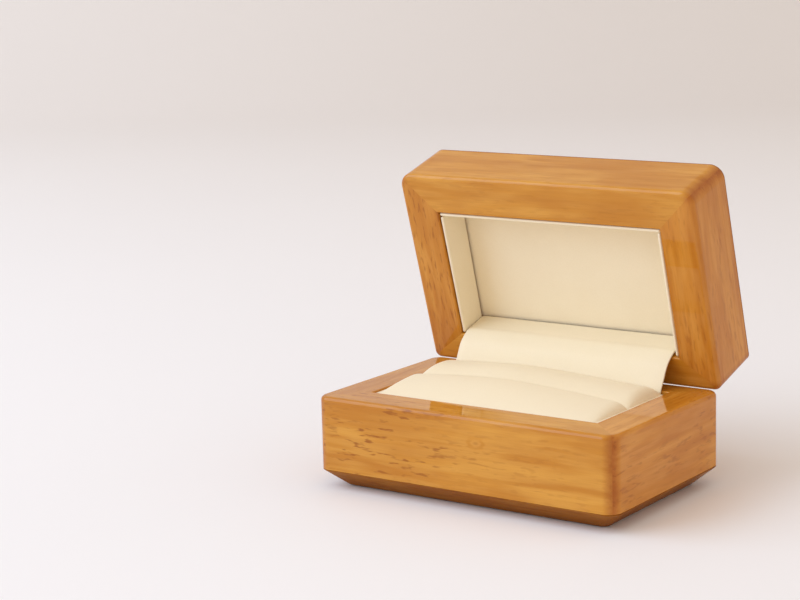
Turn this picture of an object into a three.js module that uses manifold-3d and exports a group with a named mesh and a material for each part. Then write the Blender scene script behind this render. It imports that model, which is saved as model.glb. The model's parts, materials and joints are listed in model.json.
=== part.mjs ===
// Double ring box: a lacquered wooden base and lid, mitred and chamfered, joined by a five-knuckle
// hinge with a flat snap spring. The base holds a two-roll ring cushion, the lid is lined with
// leatherette, and a leatherette flap covers the hinge. Millimetres, +Z up. The origin is the centre
// of the footprint, on the surface that the box stands on. The lid is modelled closed, in a group
// whose origin is the hinge pin, and that group is turned to the open stop.

import * as THREE from 'three';
import { mergeVertices } from 'three/addons/utils/BufferGeometryUtils.js';
import Module from 'manifold-3d';

// Driving dimensions
const WIDTH = 85;
const DEPTH = 53.6;
const BASE_HEIGHT = 23.5;
const LID_HEIGHT = 21.3;
const WALL = 10.2;
const BACK_WALL = 8.2;
const CORNER_RADIUS = 3.5;
const LID_BACK_CORNER_RADIUS = 2;
const CORNER_STEPS = 6;
const RIM_ROUND = 1.2;
const RIM_ROUND_STEPS = 3;
const CHAMFER_IN = 5;
const CHAMFER_HEIGHT = 4.5;
const CHAMFER_CORNER_SHARE = 0.5;
const OPEN_ANGLE = 73.5;

// Gaps between pieces
const GLUE_GAP = 0.1;
const SOFT_GAP = 0.3;
const RIM_GAP = 0.3;

// Felt pad under the base
const FELT_PROUD = 0.3;
const FELT_THICKNESS = 0.9;
const FELT_HALF_X = 34;
const FELT_HALF_Y = 18;
const FELT_CORNER = 2;

// Hinge
const PIVOT_INSET = 0.7;
const KNUCKLE_RADIUS = 1.15;
const GROOVE_RADIUS = 1.5;
const PIN_RADIUS = 0.55;
const PIN_HOLE_RADIUS = 0.62;
const KNUCKLE_EDGES = [-22, -13.5, -5, 5, 13.5, 22];
const KNUCKLE_GAP = 0.3;
const KNUCKLE_LAP = 0.2;
const LEAF_HALF_X = 22;
const LEAF_THICKNESS = 0.8;
const LEAF_LEG = 11;
const LEG_OFFSET = 3.2;
const NOTCH_OFFSET = 1.6;
const POCKET_CLEARANCE = 0.5;
const ROUND_SEGMENTS = 16;
const CUT_OVERRUN = 1;

// Screws and rivets
const SCREW_XS = [-17, 0, 17];
const SCREW_DROP = 8.6;
const SCREW_SHANK = 0.7;
const SCREW_HOLE = 0.85;
const SCREW_LENGTH = 3;
const SCREW_HEAD = 1.5;
const SCREW_HEAD_HEIGHT = 0.8;
const HEAD_CROWN = 0.7;
const SCREW_HEAD_SHOULDER = 0.45;
const RIVET_HEAD_SHOULDER = 0.8;
const RIVET_XS = [-3, 3];
const RIVET_DROP = 5.6;
const RIVET_SHANK = 0.5;
const RIVET_HOLE = 0.62;
const RIVET_HEAD = 1;
const RIVET_HEAD_HEIGHT = 0.4;

// Snap spring
const SPRING_WIDTH = 9;
const SPRING_THICKNESS = 0.4;
const SPRING_FOOT_DROP = 6.9;
const SPRING_KNEE_DROP = 1.9;
const SPRING_SHOULDER = [-3.9, -0.95];
const SPRING_TIP = [-1.65, -0.6];
const WINDOW_HALF_X = 4.8;
const WINDOW_DROP = 4.4;

// Lining
const LINING = 0.8;
const LINING_RECESS = 0.4;
const CEILING_DEPTH_BACK = 9.5;
const CEILING_DEPTH_FRONT = 10.4;

// Cushion. A roll's crest height is above the rim, and its peak is a share of its depth from the front.
const BOARD_THICKNESS = 1.5;
const RING_SLIT = 0.6;
const FRONT_ROLL = { crest: 3.7, peak: 0.84 };
const BACK_ROLL = { crest: 4.1, peak: 0.56 };
const ROLL_EDGE_BELOW_RIM = 0.8;
const ROLL_END_DROP = 1.9;
const ROLL_END_ROUND = 3;
const ROLL_LEAST_HEIGHT = 0.2;
const ROLL_SWELL = 2.2;
const ROLL_STATIONS = [-1, -0.93, -0.8, -0.5, 0, 0.5, 0.8, 0.93, 1];
const ROLL_ARCH_STEPS = 12;

// Flap over the hinge. The free part's points are Y and Z with the lid at its open stop.
const FLAP = 0.8;
const FLAP_HALF_X = 30.5;
const FLAP_TUCK = 8;
const FLAP_LID_END = 8.9;
const FLAP_FREE_POINTS = [[23.9, 31.5], [21.7, 29.2], [19.7, 26.2]];

// Places worked out from the dimensions above
const HALF_X = WIDTH / 2;
const HALF_Y = DEPTH / 2;
const INNER_X = HALF_X - WALL;
const INNER_FRONT = -HALF_Y + WALL;
const INNER_BACK = HALF_Y - BACK_WALL;
const PANEL_BOTTOM = FELT_PROUD;
const PANEL_TOP = PANEL_BOTTOM + CHAMFER_HEIGHT;
const PIVOT_Y = HALF_Y - PIVOT_INSET;
const PIVOT_Z = BASE_HEIGHT + RIM_GAP / 2;
const LEG_FRONT = -LEG_OFFSET - LEAF_THICKNESS;
const LID_PANEL_BOTTOM = LID_HEIGHT - CHAMFER_HEIGHT;

const wasm = await Module();
wasm.setup();

function finish(color, roughness, metalness) {
  return new THREE.MeshStandardMaterial({ color, roughness, metalness });
}

const wood = finish(0xd09a52, 0.15, 0);
const woodDark = finish(0x8c5522, 0.2, 0);
const leatherette = finish(0xf4e8cc, 0.6, 0);
const feltCloth = finish(0x4a3222, 0.95, 0);
const card = finish(0xb9a98c, 0.9, 0);
const brass = finish(0xc9a35a, 0.3, 1);
const steel = finish(0xb8babd, 0.25, 1);

// Solids and booleans

function toSolid(geometry) {
  const bare = new THREE.BufferGeometry();
  bare.setAttribute('position', geometry.getAttribute('position').clone());
  if (geometry.index) bare.setIndex(geometry.index.clone());
  const merged = mergeVertices(bare, 1e-5);
  return new wasm.Manifold(new wasm.Mesh({
    numProp: 3,
    vertProperties: Float32Array.from(merged.getAttribute('position').array),
    triVerts: Uint32Array.from(merged.index.array),
  }));
}

function toGeometry(solid) {
  const mesh = solid.getMesh();
  const geometry = new THREE.BufferGeometry();
  geometry.setAttribute('position', new THREE.BufferAttribute(Float32Array.from(mesh.vertProperties), 3));
  geometry.setIndex(new THREE.BufferAttribute(Uint32Array.from(mesh.triVerts), 1));
  geometry.computeVertexNormals();
  return geometry;
}

function union(solids) {
  return solids.reduce((sum, solid) => sum.add(solid));
}

function boxSolid(x0, x1, y0, y1, z0, z1) {
  const geometry = new THREE.BoxGeometry(x1 - x0, y1 - y0, z1 - z0);
  geometry.translate((x0 + x1) / 2, (y0 + y1) / 2, (z0 + z1) / 2);
  return toSolid(geometry);
}

// A cylinder along X between two places.
function rodAlongX(radius, x0, x1) {
  const geometry = new THREE.CylinderGeometry(radius, radius, x1 - x0, ROUND_SEGMENTS);
  geometry.rotateZ(Math.PI / 2);
  geometry.translate((x0 + x1) / 2, 0, 0);
  return geometry;
}

// A cylinder along Y, for a screw or rivet hole.
function holeAlongY(radius, x, z, y0, y1) {
  const geometry = new THREE.CylinderGeometry(radius, radius, y1 - y0, ROUND_SEGMENTS);
  geometry.translate(x, (y0 + y1) / 2, z);
  return toSolid(geometry);
}

// Rings of equal point count, listed in order, become one closed body with flat ends.
function skinRings(rings) {
  const count = rings[0].length;
  const positions = rings.flat().flatMap((p) => [p.x, p.y, p.z]);
  const index = [];
  for (let r = 0; r + 1 < rings.length; r++) {
    for (let i = 0; i < count; i++) {
      const a = r * count + i;
      const b = r * count + (i + 1) % count;
      index.push(a, b, b + count, a, b + count, a + count);
    }
  }
  const last = (rings.length - 1) * count;
  for (let i = 1; i + 1 < count; i++) {
    index.push(0, i + 1, i);
    index.push(last, last + i, last + i + 1);
  }
  const geometry = new THREE.BufferGeometry();
  geometry.setAttribute('position', new THREE.Float32BufferAttribute(positions, 3));
  geometry.setIndex(index);
  return geometry;
}

// A level rounded rectangle, counter-clockwise seen from above.
function roundedRing(halfX, halfY, radius, z, backRadius = radius) {
  const points = [];
  const corners = [
    [1, -1, -90, radius], [1, 1, 0, backRadius], [-1, 1, 90, backRadius], [-1, -1, 180, radius]];
  for (const [sideX, sideY, startAngle, cornerRadius] of corners) {
    for (let step = 0; step <= CORNER_STEPS; step++) {
      const angle = THREE.MathUtils.degToRad(startAngle + 90 * step / CORNER_STEPS);
      points.push(new THREE.Vector3(
        sideX * (halfX - cornerRadius) + cornerRadius * Math.cos(angle),
        sideY * (halfY - cornerRadius) + cornerRadius * Math.sin(angle),
        z,
      ));
    }
  }
  return points;
}

function roundedBlock(halfX, halfY, radius, z0, z1) {
  return skinRings([roundedRing(halfX, halfY, radius, z0), roundedRing(halfX, halfY, radius, z1)]);
}

// A profile drawn in the YZ plane (shape x is Y, shape y is Z), extruded along X from x0 to x1.
function prismAlongX(outline, x0, x1) {
  const shape = new THREE.Shape(outline.map((point) => new THREE.Vector2(...point)));
  const geometry = new THREE.ExtrudeGeometry(shape, { depth: x1 - x0, bevelEnabled: false });
  const turn = new THREE.Matrix4().set(0, 0, 1, x0, 1, 0, 0, 0, 0, 1, 0, 0, 0, 0, 0, 1);
  return toSolid(geometry.applyMatrix4(turn));
}

// Wooden shell: four mitred walls and a chamfered panel, described for a rim at the top.
// The base uses it as it is, and the lid uses it mirrored upside down.

function wallEnvelope(bottom, rim, backRadius) {
  const rings = [roundedRing(HALF_X, HALF_Y, CORNER_RADIUS, bottom, backRadius)];
  for (let step = 0; step <= RIM_ROUND_STEPS; step++) {
    const angle = Math.PI / 2 * step / RIM_ROUND_STEPS;
    const inset = RIM_ROUND * (1 - Math.cos(angle));
    const z = rim - RIM_ROUND * (1 - Math.sin(angle));
    rings.push(roundedRing(HALF_X - inset, HALF_Y - inset, CORNER_RADIUS - inset, z, backRadius - inset));
  }
  const cavity = boxSolid(
    -INNER_X, INNER_X, INNER_FRONT, INNER_BACK, bottom - CUT_OVERRUN, rim + CUT_OVERRUN);
  return toSolid(skinRings(rings)).subtract(cavity);
}

// A mitre runs from the cavity's corner through the centre of the outer corner's rounding.
// Share 0 is the cavity's corner and share 1 the rounding's centre.
function mitrePoint(sideX, isBack, share, backRadius) {
  const radius = isBack ? backRadius : CORNER_RADIUS;
  const inner = new THREE.Vector2(sideX * INNER_X, isBack ? INNER_BACK : INNER_FRONT);
  const centre = new THREE.Vector2(
    sideX * (HALF_X - radius), (isBack ? 1 : -1) * (HALF_Y - radius));
  return inner.lerp(centre, share);
}

// The part of the plan that one board takes: a trapezium between two mitres, moved out by half a
// glue gap.
function mitreWedge(side, bottom, rim, backRadius) {
  const within = -0.2;
  const beyond = 2.5;
  const ends = {
    front: [[-1, false], [1, false]],
    right: [[1, false], [1, true]],
    back: [[1, true], [-1, true]],
    left: [[-1, true], [-1, false]],
  }[side];
  const [first, second] = ends;
  const shape = new THREE.Shape([
    mitrePoint(...first, beyond, backRadius),
    mitrePoint(...second, beyond, backRadius),
    mitrePoint(...second, within, backRadius),
    mitrePoint(...first, within, backRadius),
  ]);
  const height = rim - bottom + 2 * CUT_OVERRUN;
  const geometry = new THREE.ExtrudeGeometry(shape, { depth: height, bevelEnabled: false });
  const outward = { front: [0, -1], right: [1, 0], back: [0, 1], left: [-1, 0] }[side];
  const shift = GLUE_GAP / Math.SQRT2;
  geometry.translate(outward[0] * shift, outward[1] * shift, bottom - CUT_OVERRUN);
  return toSolid(geometry);
}

function woodWalls(bottom, rim, backRadius) {
  const envelope = wallEnvelope(bottom, rim, backRadius);
  const walls = {};
  for (const side of ['front', 'back', 'left', 'right']) {
    walls[side] = envelope.intersect(mitreWedge(side, bottom, rim, backRadius));
  }
  return walls;
}

function chamferedPanel(outerFace, innerFace, backRadius) {
  const lower = roundedRing(
    HALF_X - CHAMFER_IN, HALF_Y - CHAMFER_IN, CORNER_RADIUS * CHAMFER_CORNER_SHARE, outerFace,
    backRadius * CHAMFER_CORNER_SHARE);
  const upper = roundedRing(HALF_X, HALF_Y, CORNER_RADIUS, innerFace, backRadius);
  return toSolid(skinRings([lower, upper]));
}

// Mirrors a rim-up solid upside down, so that its rim faces down at z = 0.
function upsideDown(solid, height) {
  return solid.mirror([0, 0, 1]).translate([0, 0, height]);
}

// Low and high end of a span above or below the pin: upwards for the base, downwards for the lid.
function spanFromPin(sign, a, b) {
  return [Math.min(sign * a, sign * b), Math.max(sign * a, sign * b)];
}

// Room for the hinge in a back wall, about the pin: groove, arm recess and leg pocket.
function hingeRoom(sign) {
  const halfX = LEAF_HALF_X + POCKET_CLEARANCE;
  const legFloor = -LEG_OFFSET + GLUE_GAP;
  const intoCavity = INNER_BACK - PIVOT_Y - CUT_OVERRUN;
  const armFloor = -RIM_GAP / 2 - LEAF_THICKNESS - GLUE_GAP;
  const groove = toSolid(rodAlongX(GROOVE_RADIUS, -halfX, halfX));
  const armRecess = boxSolid(
    -halfX, halfX, legFloor - CUT_OVERRUN, 0, ...spanFromPin(sign, armFloor, CUT_OVERRUN));
  const pocket = boxSolid(
    -halfX, halfX, intoCavity, legFloor, ...spanFromPin(sign, -LEAF_LEG - POCKET_CLEARANCE, CUT_OVERRUN));
  return union([groove, armRecess, pocket]);
}

function screwHoles(radius, sign, y0, y1) {
  return union(SCREW_XS.map((x) => holeAlongY(radius, x, sign * -SCREW_DROP, y0, y1)));
}

// Hinge leaves: an arm along the rim, a leg down the pocket, and rolled knuckles round the pin.

function hingeLeaf(knuckleNumbers, sign) {
  const armTop = -RIM_GAP / 2;
  const armSpan = spanFromPin(sign, armTop - LEAF_THICKNESS, armTop);
  const legSpan = spanFromPin(sign, -LEAF_LEG, armTop);
  let leaf = boxSolid(-LEAF_HALF_X, LEAF_HALF_X, LEG_FRONT, -LEG_OFFSET, ...legSpan);
  leaf = leaf.add(boxSolid(-LEAF_HALF_X, LEAF_HALF_X, LEG_FRONT, -NOTCH_OFFSET, ...armSpan));
  for (const number of knuckleNumbers) {
    const x0 = KNUCKLE_EDGES[number] + KNUCKLE_GAP / 2;
    const x1 = KNUCKLE_EDGES[number + 1] - KNUCKLE_GAP / 2;
    const tongue = boxSolid(x0, x1, -NOTCH_OFFSET - KNUCKLE_LAP, 0, ...armSpan);
    leaf = leaf.add(tongue).add(toSolid(rodAlongX(KNUCKLE_RADIUS, x0, x1)));
  }
  const pinHole = toSolid(
    rodAlongX(PIN_HOLE_RADIUS, -LEAF_HALF_X - CUT_OVERRUN, LEAF_HALF_X + CUT_OVERRUN));
  const holes = screwHoles(SCREW_HOLE, sign, LEG_FRONT - CUT_OVERRUN, -LEG_OFFSET + CUT_OVERRUN);
  return leaf.subtract(pinHole).subtract(holes);
}

function baseLeaf() {
  const window = boxSolid(
    -WINDOW_HALF_X, WINDOW_HALF_X, LEG_FRONT - CUT_OVERRUN, 0, -WINDOW_DROP, CUT_OVERRUN);
  const rivetHoles = union(RIVET_XS.map(
    (x) => holeAlongY(RIVET_HOLE, x, -RIVET_DROP, LEG_FRONT - CUT_OVERRUN, -LEG_OFFSET + CUT_OVERRUN)));
  return hingeLeaf([1, 3], 1).subtract(window).subtract(rivetHoles);
}

function lidLeaf() {
  return hingeLeaf([0, 2, 4], -1);
}

// A strip of even thickness along a bent line in the YZ plane, extruded along X.
function stripAlongX(line, thickness, halfX) {
  const points = line.map((point) => new THREE.Vector2(...point));
  const sideOf = (offset) => points.map((point, i) => {
    const before = points[Math.max(i - 1, 0)];
    const after = points[Math.min(i + 1, points.length - 1)];
    const tangentIn = point.clone().sub(before);
    const tangentOut = after.clone().sub(point);
    if (i === 0) tangentIn.copy(tangentOut);
    if (i === points.length - 1) tangentOut.copy(tangentIn);
    tangentIn.normalize();
    tangentOut.normalize();
    const normal = new THREE.Vector2(-tangentIn.y - tangentOut.y, tangentIn.x + tangentOut.x).normalize();
    const spread = offset / Math.cos(tangentIn.angleTo(tangentOut) / 2);
    return point.clone().addScaledVector(normal, spread).toArray();
  });
  return prismAlongX([...sideOf(thickness / 2), ...sideOf(-thickness / 2).reverse()], -halfX, halfX);
}

// The spring stands on the base leg and its tip bears on the lid's middle knuckle.
function snapSpring() {
  const footY = LEG_FRONT - GLUE_GAP - SPRING_THICKNESS / 2;
  const line = [[footY, -SPRING_FOOT_DROP], [footY, -SPRING_KNEE_DROP], SPRING_SHOULDER, SPRING_TIP];
  const strip = stripAlongX(line, SPRING_THICKNESS, SPRING_WIDTH / 2);
  const holes = union(RIVET_XS.map(
    (x) => holeAlongY(RIVET_HOLE, x, -RIVET_DROP, footY - CUT_OVERRUN, footY + CUT_OVERRUN)));
  return strip.subtract(holes);
}

// Fasteners turned about Y. Heads face into the box, towards -Y. Profile points are radius and Y.
function turnedAlongY(profile) {
  const points = profile.map((point) => new THREE.Vector2(...point));
  return toSolid(new THREE.LatheGeometry(points, ROUND_SEGMENTS));
}

function screw() {
  return turnedAlongY([
    [0, -SCREW_HEAD_HEIGHT],
    [SCREW_HEAD * HEAD_CROWN, -SCREW_HEAD_HEIGHT],
    [SCREW_HEAD, -SCREW_HEAD_HEIGHT * SCREW_HEAD_SHOULDER],
    [SCREW_HEAD, 0],
    [SCREW_SHANK, 0],
    [SCREW_SHANK, SCREW_LENGTH - SCREW_SHANK],
    [0, SCREW_LENGTH],
  ]);
}

function rivet() {
  const grip = SPRING_THICKNESS + GLUE_GAP + LEAF_THICKNESS;
  return turnedAlongY([
    [0, -RIVET_HEAD_HEIGHT],
    [RIVET_HEAD * HEAD_CROWN, -RIVET_HEAD_HEIGHT * RIVET_HEAD_SHOULDER],
    [RIVET_HEAD, 0],
    [RIVET_SHANK, 0],
    [RIVET_SHANK, grip],
    [0, grip],
  ]);
}

// Soft parts

// Share of a roll's full height at a place across it: 0 at its edges, 1 at its peak.
function rollArch(t, peak) {
  const fromPeak = t < peak ? (peak - t) / peak : (t - peak) / (1 - peak);
  return Math.sqrt(Math.max(1 - fromPeak ** ROLL_SWELL, 0));
}

// One roll of the ring cushion: flat below, crowned above, lower towards its two ends.
function cushionRoll(yFront, yBack, { crest, peak }) {
  const halfX = INNER_X - SOFT_GAP;
  const bottom = PANEL_TOP + GLUE_GAP + BOARD_THICKNESS + GLUE_GAP;
  const edge = BASE_HEIGHT - ROLL_EDGE_BELOW_RIM;
  const rings = ROLL_STATIONS.map((station) => {
    const fall = ROLL_END_DROP * station ** 2 + (Math.abs(station) === 1 ? ROLL_END_ROUND : 0);
    const height = Math.max(crest + ROLL_EDGE_BELOW_RIM - fall, ROLL_LEAST_HEIGHT);
    const x = station * halfX;
    const ring = [new THREE.Vector3(x, yFront, bottom), new THREE.Vector3(x, yBack, bottom)];
    for (let step = 0; step <= ROLL_ARCH_STEPS; step++) {
      const t = (1 + Math.cos(Math.PI * step / ROLL_ARCH_STEPS)) / 2;
      ring.push(new THREE.Vector3(x, yFront + (yBack - yFront) * t, edge + height * rollArch(t, peak)));
    }
    return ring;
  });
  return toSolid(skinRings(rings));
}

function liningStrip(x0, x1, y0, y1) {
  return prismAlongX([
    [y0, LINING_RECESS], [y1, LINING_RECESS],
    [y1, ceilingDepth(y1) - SOFT_GAP], [y0, ceilingDepth(y0) - SOFT_GAP],
  ], x0, x1);
}

// Depth of the lid's ceiling below its rim plane, deeper towards the front.
function ceilingDepth(y) {
  const t = (INNER_BACK - y) / (INNER_BACK - INNER_FRONT);
  return CEILING_DEPTH_BACK + (CEILING_DEPTH_FRONT - CEILING_DEPTH_BACK) * t;
}

function ceilingPad() {
  const front = INNER_FRONT + SOFT_GAP;
  const back = INNER_BACK - SOFT_GAP;
  const halfX = INNER_X - SOFT_GAP;
  const top = LID_PANEL_BOTTOM - SOFT_GAP;
  return prismAlongX(
    [[front, ceilingDepth(front)], [back, ceilingDepth(back)], [back, top], [front, top]], -halfX, halfX);
}

// Where a point of the closed lid, given in box coordinates above the rim plane, lies in the YZ plane
// when the lid is at its open stop.
function openPoint(y, aboveRim) {
  const angle = THREE.MathUtils.degToRad(OPEN_ANGLE);
  const fromPinY = y - PIVOT_Y;
  const fromPinZ = aboveRim + RIM_GAP / 2;
  return [
    PIVOT_Y + fromPinY * Math.cos(angle) + fromPinZ * Math.sin(angle),
    PIVOT_Z - fromPinY * Math.sin(angle) + fromPinZ * Math.cos(angle),
  ];
}

// The flap lines the lid's back wall, crosses to the base's back wall, and is tucked behind the
// back roll. It is drawn as it hangs with the lid at its open stop.
function hingeFlap() {
  const middle = INNER_BACK - SOFT_GAP - FLAP / 2;
  const line = [
    openPoint(middle, FLAP_LID_END),
    openPoint(middle, CHAMFER_HEIGHT),
    ...FLAP_FREE_POINTS,
    [middle, BASE_HEIGHT],
    [middle, BASE_HEIGHT - FLAP_TUCK],
  ];
  return stripAlongX(line, FLAP, FLAP_HALF_X);
}

// Assembly

const ringBox = new THREE.Group();
const lid = new THREE.Group();
lid.position.set(0, PIVOT_Y, PIVOT_Z);
lid.rotation.x = -THREE.MathUtils.degToRad(OPEN_ANGLE);
ringBox.add(lid);

function addPiece(group, name, solid, material, position = [0, 0, 0]) {
  const mesh = new THREE.Mesh(toGeometry(solid), material);
  mesh.name = name;
  mesh.position.set(...position);
  group.add(mesh);
}

const PIN_IN_BASE = [0, PIVOT_Y, PIVOT_Z];

function buildBaseWood() {
  const walls = woodWalls(PANEL_TOP + GLUE_GAP, BASE_HEIGHT, CORNER_RADIUS);
  const holes = screwHoles(SCREW_HOLE, 1, -LEG_OFFSET, SCREW_LENGTH - LEG_OFFSET);
  walls.back = walls.back.subtract(hingeRoom(1).add(holes).translate(PIN_IN_BASE));
  for (const [side, solid] of Object.entries(walls)) {
    addPiece(ringBox, `base_${side}_wall`, solid, wood);
  }
  const recess = toSolid(roundedBlock(
    FELT_HALF_X + GLUE_GAP, FELT_HALF_Y + GLUE_GAP, FELT_CORNER, -CUT_OVERRUN, FELT_THICKNESS + GLUE_GAP));
  const panel = chamferedPanel(PANEL_BOTTOM, PANEL_TOP, CORNER_RADIUS).subtract(recess);
  addPiece(ringBox, 'base_bottom_panel', panel, woodDark);
}

function buildBaseTrim() {
  const felt = toSolid(roundedBlock(FELT_HALF_X, FELT_HALF_Y, FELT_CORNER, 0, FELT_THICKNESS));
  addPiece(ringBox, 'base_felt_pad', felt, feltCloth);
  const boardBottom = PANEL_TOP + GLUE_GAP;
  const board = boxSolid(
    -INNER_X + SOFT_GAP, INNER_X - SOFT_GAP, INNER_FRONT + SOFT_GAP, INNER_BACK - SOFT_GAP,
    boardBottom, boardBottom + BOARD_THICKNESS);
  addPiece(ringBox, 'cushion_board', board, card);
  const front = INNER_FRONT + SOFT_GAP;
  const back = INNER_BACK - FLAP - 3 * SOFT_GAP;
  const slit = RING_SLIT / 2;
  addPiece(ringBox, 'cushion_front_roll', cushionRoll(front, -slit, FRONT_ROLL), leatherette);
  addPiece(ringBox, 'cushion_back_roll', cushionRoll(slit, back, BACK_ROLL), leatherette);
}

function buildLidWood() {
  const toPin = [0, -PIVOT_Y, RIM_GAP / 2];
  const walls = woodWalls(CHAMFER_HEIGHT + GLUE_GAP, LID_HEIGHT, LID_BACK_CORNER_RADIUS);
  const holes = screwHoles(SCREW_HOLE, -1, -LEG_OFFSET, SCREW_LENGTH - LEG_OFFSET);
  for (const [side, solid] of Object.entries(walls)) {
    let wall = upsideDown(solid, LID_HEIGHT).translate(toPin);
    if (side === 'back') wall = wall.subtract(hingeRoom(-1).add(holes));
    addPiece(lid, `lid_${side}_wall`, wall, wood);
  }
  const panel = upsideDown(chamferedPanel(0, CHAMFER_HEIGHT, LID_BACK_CORNER_RADIUS), LID_HEIGHT);
  addPiece(lid, 'lid_top_panel', panel.translate(toPin), woodDark);
}

function buildLidLining() {
  const toPin = [0, -PIVOT_Y, RIM_GAP / 2];
  const wallX = INNER_X - SOFT_GAP;
  const front = INNER_FRONT + SOFT_GAP;
  const back = INNER_BACK - SOFT_GAP;
  const sideFront = front + LINING + SOFT_GAP;
  const pieces = {
    lid_lining_left: liningStrip(-wallX, -wallX + LINING, sideFront, back),
    lid_lining_right: liningStrip(wallX - LINING, wallX, sideFront, back),
    lid_lining_front: liningStrip(-wallX, wallX, front, front + LINING),
    lid_ceiling_pad: ceilingPad(),
  };
  for (const [name, solid] of Object.entries(pieces)) {
    addPiece(lid, name, solid.translate(toPin), leatherette);
  }
}

function buildHinge() {
  addPiece(ringBox, 'hinge_base_leaf', baseLeaf(), brass, PIN_IN_BASE);
  addPiece(lid, 'hinge_lid_leaf', lidLeaf(), brass);
  const pin = toSolid(rodAlongX(PIN_RADIUS, -LEAF_HALF_X, LEAF_HALF_X));
  addPiece(ringBox, 'hinge_pin', pin, steel, PIN_IN_BASE);
  addPiece(ringBox, 'hinge_spring', snapSpring(), steel, PIN_IN_BASE);
  const headSeat = LEG_FRONT - GLUE_GAP;
  SCREW_XS.forEach((x, i) => {
    addPiece(ringBox, `base_hinge_screw_${i + 1}`, screw(), brass,
      [x, PIVOT_Y + headSeat, PIVOT_Z - SCREW_DROP]);
    addPiece(lid, `lid_hinge_screw_${i + 1}`, screw(), brass, [x, headSeat, SCREW_DROP]);
  });
  const rivetSeat = LEG_FRONT - 2 * GLUE_GAP - SPRING_THICKNESS;
  RIVET_XS.forEach((x, i) => {
    addPiece(ringBox, `spring_rivet_${i + 1}`, rivet(), steel,
      [x, PIVOT_Y + rivetSeat, PIVOT_Z - RIVET_DROP]);
  });
}

buildBaseWood();
buildBaseTrim();
buildLidWood();
buildLidLining();
buildHinge();
addPiece(ringBox, 'hinge_flap', hingeFlap(), leatherette);

export default ringBox;
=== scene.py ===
"""Ring box: the looks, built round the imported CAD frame.

Lengths are in metres in the row frame, +Z up. The wooden shells are rebuilt with fine roundings, the soft
parts are modelled as padded leatherette, and the hinge keeps its CAD nodes with metal finishes.
"""

import json
import math
import bmesh
import bpy
from mathutils import Matrix, Vector, noise


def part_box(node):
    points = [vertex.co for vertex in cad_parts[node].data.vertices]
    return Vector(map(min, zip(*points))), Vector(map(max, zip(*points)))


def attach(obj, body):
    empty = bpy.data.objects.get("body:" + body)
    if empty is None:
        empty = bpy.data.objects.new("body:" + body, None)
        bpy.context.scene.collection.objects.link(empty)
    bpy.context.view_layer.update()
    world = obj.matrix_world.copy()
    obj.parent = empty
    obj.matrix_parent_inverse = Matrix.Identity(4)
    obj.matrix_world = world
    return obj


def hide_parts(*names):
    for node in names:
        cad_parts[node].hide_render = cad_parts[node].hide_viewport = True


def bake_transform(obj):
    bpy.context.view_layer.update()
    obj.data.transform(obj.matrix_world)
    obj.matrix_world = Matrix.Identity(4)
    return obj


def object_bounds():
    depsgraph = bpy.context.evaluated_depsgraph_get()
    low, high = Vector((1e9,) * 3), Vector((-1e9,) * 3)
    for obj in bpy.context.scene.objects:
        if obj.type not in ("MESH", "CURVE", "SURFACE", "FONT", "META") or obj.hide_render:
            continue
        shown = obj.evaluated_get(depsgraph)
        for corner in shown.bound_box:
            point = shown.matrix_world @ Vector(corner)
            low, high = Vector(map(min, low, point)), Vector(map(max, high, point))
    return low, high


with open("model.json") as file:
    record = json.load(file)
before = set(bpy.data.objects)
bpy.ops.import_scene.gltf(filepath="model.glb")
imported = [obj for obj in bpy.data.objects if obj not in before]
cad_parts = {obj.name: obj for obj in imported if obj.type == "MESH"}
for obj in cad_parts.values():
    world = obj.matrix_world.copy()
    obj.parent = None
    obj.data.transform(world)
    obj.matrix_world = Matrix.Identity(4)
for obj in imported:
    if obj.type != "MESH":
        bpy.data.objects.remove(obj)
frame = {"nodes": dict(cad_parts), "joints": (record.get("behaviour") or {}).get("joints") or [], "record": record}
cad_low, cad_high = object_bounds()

MM = 0.001
SCENE = bpy.context.scene

# ---------------------------------------------------------------- places, from the frame

HINGE = frame["joints"][0]
PIVOT = Vector(HINGE["pos_m"])
OPEN_ANGLE = math.radians(HINGE["range_deg"][1])
PANEL_LOW, PANEL_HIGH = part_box("base_bottom_panel")
WALL_LOW, WALL_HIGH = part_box("base_front_wall")
HALF_X = PANEL_HIGH.x
HALF_Y = PANEL_HIGH.y
WALL = WALL_HIGH.y - WALL_LOW.y
BACK_WALL = HALF_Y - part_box("base_back_wall")[0].y
RIM = WALL_HIGH.z
INNER_X = HALF_X - WALL
INNER_FRONT = -HALF_Y + WALL
INNER_BACK = HALF_Y - BACK_WALL

# The lid as it lies when closed, in row coordinates, carried to its open place.
CLOSED_TO_OPEN = Matrix.Translation(PIVOT) @ Matrix.Rotation(-OPEN_ANGLE, 4, "X") @ Matrix.Translation(-PIVOT)
OPEN_TO_CLOSED = CLOSED_TO_OPEN.inverted()


def closed_box(node):
    """Lowest and highest corner of a lid node as it lies when the lid is closed."""
    points = [OPEN_TO_CLOSED @ v.co for v in frame["nodes"][node].data.vertices]
    low = Vector(min(p[i] for p in points) for i in range(3))
    high = Vector(max(p[i] for p in points) for i in range(3))
    return low, high


LID_PANEL_LOW, LID_PANEL_HIGH = closed_box("lid_top_panel")
LID_RIM = closed_box("lid_front_wall")[0].z
LID_HEIGHT = LID_PANEL_HIGH.z - LID_RIM
BASE_HEIGHT = RIM - PANEL_LOW.z

# Shell space has a shell's outer panel face at z = 0. These carry it to the row frame.
BASE_SHELL = Matrix.Translation((0, 0, PANEL_LOW.z))
LID_SHELL = CLOSED_TO_OPEN @ Matrix.Translation((0, 0, LID_PANEL_HIGH.z))
QUARTER_TURNS = {"front": 0, "right": 1, "back": 2, "left": 3}

# ---------------------------------------------------------------- shape of the wood

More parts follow.
